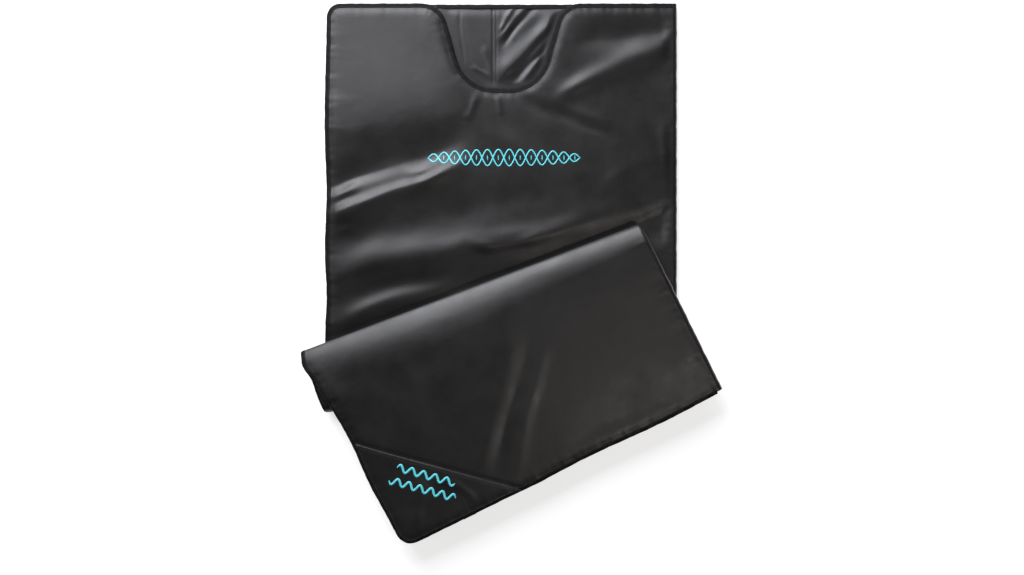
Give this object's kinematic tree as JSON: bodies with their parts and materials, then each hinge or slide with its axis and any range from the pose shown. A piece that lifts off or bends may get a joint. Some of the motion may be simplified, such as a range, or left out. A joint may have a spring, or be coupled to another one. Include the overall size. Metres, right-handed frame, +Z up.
{
  "type": "infrared sauna blanket",
  "caption": "Padded black leatherette sauna blanket, a bag with a neck cut-out and a hook-and-loop side, stored folded in a Z.",
  "frame": {"origin": "middle of the bounding box, on the floor that the folded blanket lies on", "axes": "+Z up, +Y towards the head end, +X towards the spine side"},
  "size_m": [1.0542, 1.3716, 0.0728],
  "materials": {
    "leatherette": "satin black polyurethane leatherette",
    "insulating_felt": "white needled felt",
    "carbon_mat": "carbon-fibre heating mat",
    "mineral_quilt": "quilted charcoal and crystal layer",
    "inner_lining": "smooth wipe-clean polyurethane",
    "edge_binding": "matt black binding tape",
    "hook_and_loop": "black hook-and-loop",
    "black_plastic": "matt moulded",
    "grey_insulator": "matt moulded",
    "contact_brass": "plain",
    "fuse_can": "plain",
    "lead_rubber": "flat silicone-covered leads"
  },
  "bodies": {
    "foot_section": {"corner_patch": "leatherette", "foot_back_binding": "edge_binding", "foot_back_heating_mat": "carbon_mat", "foot_back_insulation": "insulating_felt", "foot_back_lining": "inner_lining", "foot_back_loop_strip": "hook_and_loop", "foot_back_mineral_layer": "mineral_quilt", "foot_back_shell": "leatherette", "foot_cover_binding": "edge_binding", "foot_cover_heating_mat": "carbon_mat", "foot_cover_hook_strip": "hook_and_loop", "foot_cover_insulation": "insulating_felt", "foot_cover_lining": "inner_lining", "foot_cover_mineral_layer": "mineral_quilt", "foot_cover_shell": "leatherette", "foot_end_binding": "edge_binding", "foot_spine": "leatherette", "inlet_contacts": "contact_brass", "inlet_housing": "black_plastic", "inlet_insulator": "grey_insulator", "overheat_thermostat": "black_plastic", "sensor_leads": "lead_rubber", "thermal_fuse": "fuse_can"},
    "cover_corner": {"cover_corner_binding": "edge_binding", "cover_corner_heating_mat": "carbon_mat", "cover_corner_hook_strip": "hook_and_loop", "cover_corner_insulation": "insulating_felt", "cover_corner_lining": "inner_lining", "cover_corner_mineral_layer": "mineral_quilt", "cover_corner_shell": "leatherette"},
    "head_section": {"head_back_binding": "edge_binding", "head_back_heating_mat": "carbon_mat", "head_back_insulation": "insulating_felt", "head_back_lining": "inner_lining", "head_back_loop_strip": "hook_and_loop", "head_back_mineral_layer": "mineral_quilt", "head_back_shell": "leatherette", "head_cover_binding": "edge_binding", "head_cover_heating_mat": "carbon_mat", "head_cover_hook_strip": "hook_and_loop", "head_cover_insulation": "insulating_felt", "head_cover_lining": "inner_lining", "head_cover_mineral_layer": "mineral_quilt", "head_cover_shell": "leatherette", "head_spine": "leatherette"},
    "middle_section": {"mid_back_binding": "edge_binding", "mid_back_heating_mat": "carbon_mat", "mid_back_insulation": "insulating_felt", "mid_back_lining": "inner_lining", "mid_back_loop_strip": "hook_and_loop", "mid_back_mineral_layer": "mineral_quilt", "mid_back_shell": "leatherette", "mid_cover_binding": "edge_binding", "mid_cover_heating_mat": "carbon_mat", "mid_cover_hook_strip": "hook_and_loop", "mid_cover_insulation": "insulating_felt", "mid_cover_lining": "inner_lining", "mid_cover_mineral_layer": "mineral_quilt", "mid_cover_shell": "leatherette", "mid_spine": "leatherette"}
  },
  "joints": [
    {"name": "lower_fold", "type": "hinge", "parent": "head_section", "child": "middle_section", "pos_m": [-0.03294, -0.30167, 0.0242], "axis": [0.9912, 0.1323, 0], "range_deg": [0, 180]},
    {"name": "upper_fold", "type": "hinge", "parent": "middle_section", "child": "foot_section", "pos_m": [-0.10426, -0.03918, 0.0486], "axis": [-0.9354, -0.3535, 0], "range_deg": [0, 180]},
    {"name": "cover_peel", "type": "hinge", "parent": "head_section", "child": "cover_corner", "pos_m": [0.40506, 0.68583, 0.0242], "axis": [0.7306, 0.6828, 0], "range_deg": [0, 100]}
  ],
  "couplings": [
    {"joint": "upper_fold", "follows": "lower_fold", "ratio": 1}
  ]
}
